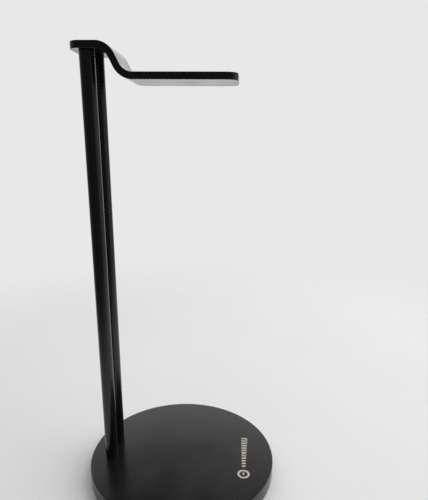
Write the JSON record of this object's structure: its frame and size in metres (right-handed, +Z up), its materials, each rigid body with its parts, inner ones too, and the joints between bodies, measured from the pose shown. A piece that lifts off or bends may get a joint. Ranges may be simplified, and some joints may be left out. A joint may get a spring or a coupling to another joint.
{
  "type": "headphone stand",
  "caption": "Desk headphone stand: a heavy round base, paired upright bars near its rim and a stepped hanger plate that carries the headband.",
  "frame": {"origin": "centre of the foot pad's underside, on the surface that the stand rests on", "axes": "+Z up, +X from the posts towards the free end of the hanger, +Y from the near post to the far post"},
  "size_m": [0.12, 0.12, 0.257],
  "materials": {
    "black_coat": "satin black coating on steel",
    "black_bar": "semi-gloss black coating on round steel bar",
    "black_screw": "black oxide",
    "zinc_screw": "bright zinc plating",
    "pad_rubber": "matt non-slip foam rubber"
  },
  "bodies": {
    "root": {"base_disc": "black_coat", "foot_pad": "pad_rubber", "near_post": "black_bar", "far_post": "black_bar", "hanger_plate": "black_coat", "hanger_screw_near": "black_screw", "hanger_screw_far": "black_screw", "base_screw_near": "zinc_screw", "base_screw_far": "zinc_screw", "lock_washer_near": "zinc_screw", "lock_washer_far": "zinc_screw", "flat_washer_near": "zinc_screw", "flat_washer_far": "zinc_screw"}
  },
  "joints": []
}
